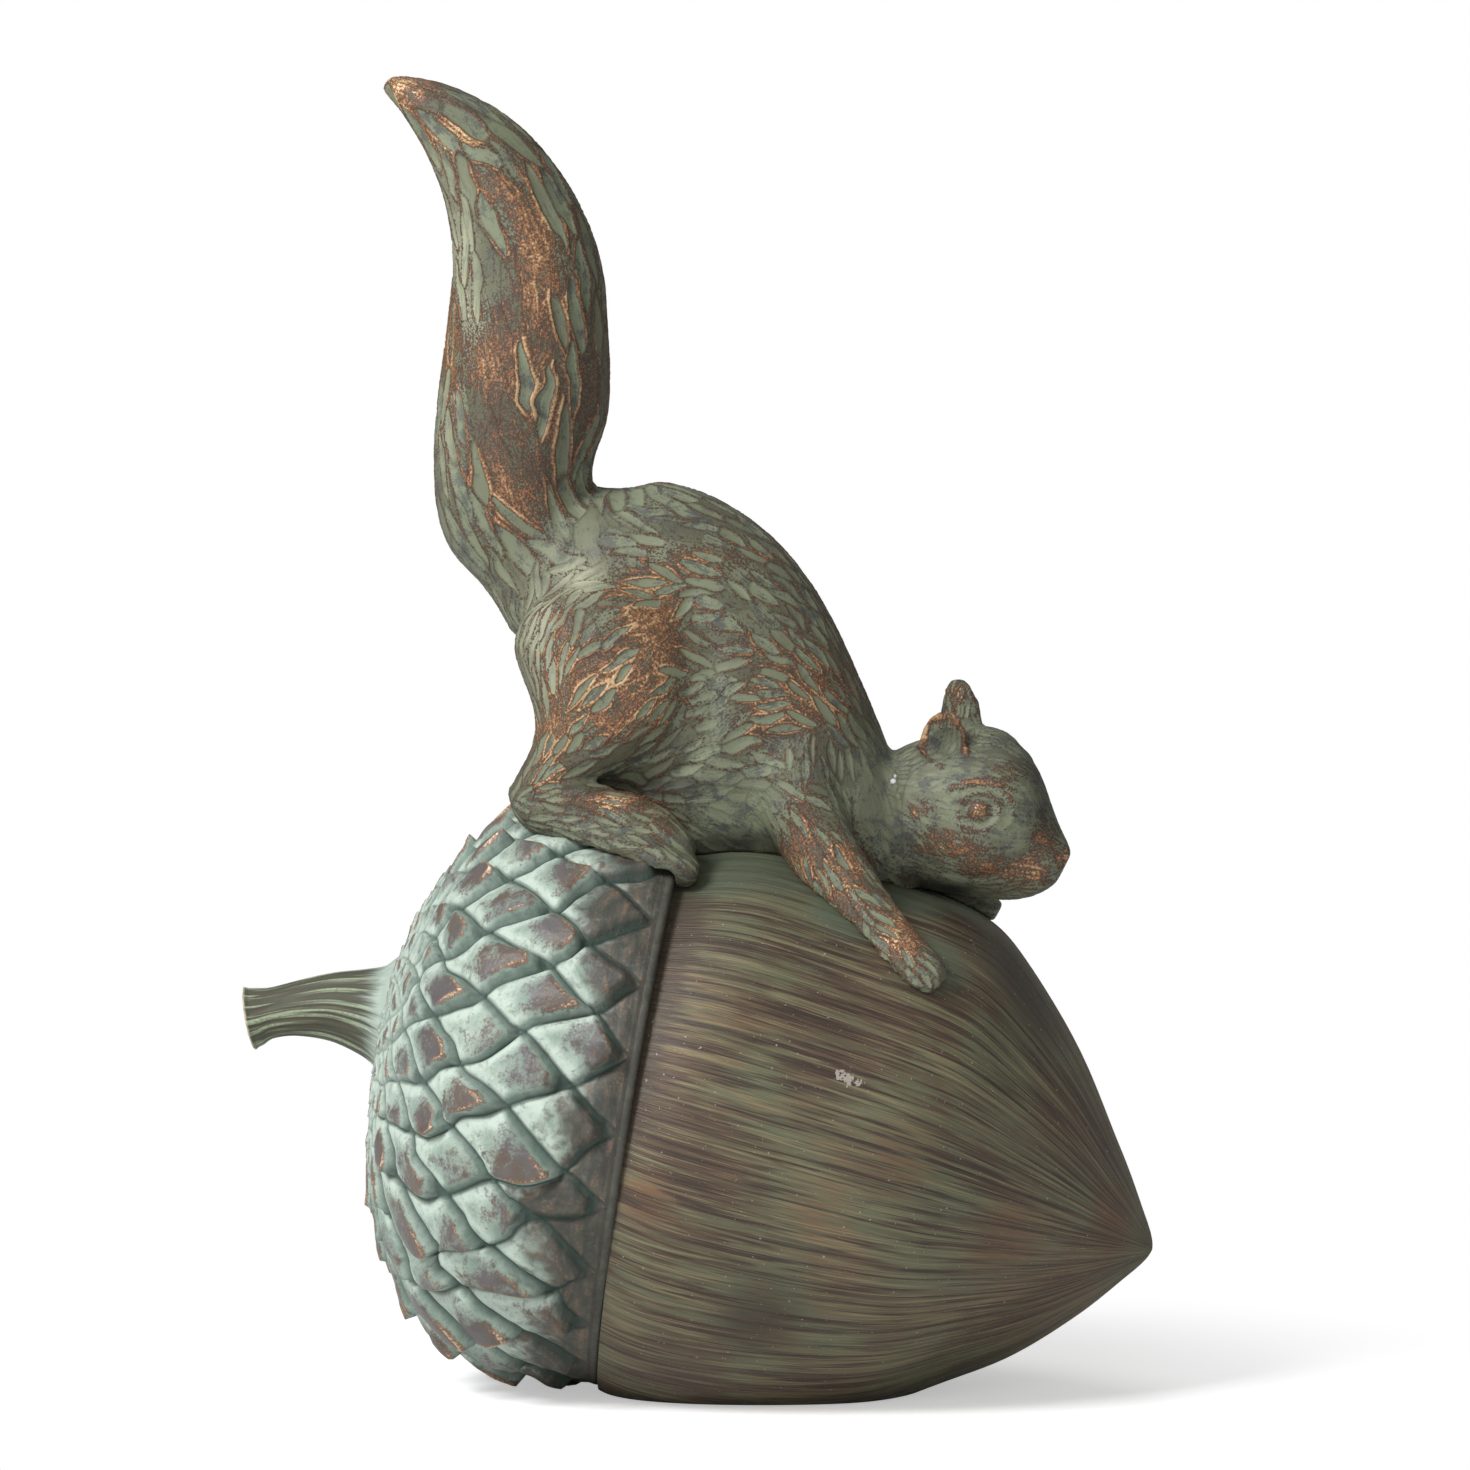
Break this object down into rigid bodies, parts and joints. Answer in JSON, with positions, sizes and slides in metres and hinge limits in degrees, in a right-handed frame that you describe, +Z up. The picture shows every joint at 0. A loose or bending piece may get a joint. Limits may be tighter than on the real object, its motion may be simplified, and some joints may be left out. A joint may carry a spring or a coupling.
{
  "type": "squirrel figurine",
  "caption": "Squirrel crouched on a large tilted acorn with a scaled cap and a cut stem, a hollow resin garden figurine in a verdigris bronze finish.",
  "frame": {"origin": "centre of the felt foot's flat underside, on the table", "axes": "+X from the stem to the nut's tip, the way the squirrel faces; +Y to the squirrel's left; +Z up"},
  "size_m": [0.3113, 0.2018, 0.4541],
  "materials": {
    "nut_resin": "painted cast resin, brown bronze with olive verdigris streaks",
    "cap_resin": "painted cast resin, blue-green verdigris with copper scale edges",
    "stem_resin": "painted cast resin, brown with green grooves",
    "fur_resin": "painted cast resin, sage verdigris with copper rubbed on the fur's ridges",
    "zinc_steel": "zinc-plated steel fastener",
    "dowel_wood": "plain beech dowel",
    "plate_plastic": "moulded black plastic",
    "felt": "dark green felt",
    "iron": "rough grey cast iron"
  },
  "bodies": {
    "root": {"nut_shell": "nut_resin", "cap_shell": "cap_resin", "stem": "stem_resin", "stem_rod": "zinc_steel", "rod_washer": "zinc_steel", "rod_nut": "zinc_steel", "base_plate": "plate_plastic", "base_screws": "zinc_steel", "base_felt": "felt", "ballast_block": "iron", "ballast_screws": "zinc_steel", "mounting_studs": "zinc_steel", "stud_washers": "zinc_steel", "stud_nuts": "zinc_steel", "torso": "fur_resin", "head": "fur_resin", "neck_dowel": "dowel_wood", "tail": "fur_resin", "tail_dowel": "dowel_wood", "right_hind_leg": "fur_resin", "left_hind_leg": "fur_resin", "hip_dowels": "dowel_wood", "right_foreleg": "fur_resin", "left_foreleg": "fur_resin", "shoulder_dowels": "dowel_wood"}
  },
  "joints": []
}
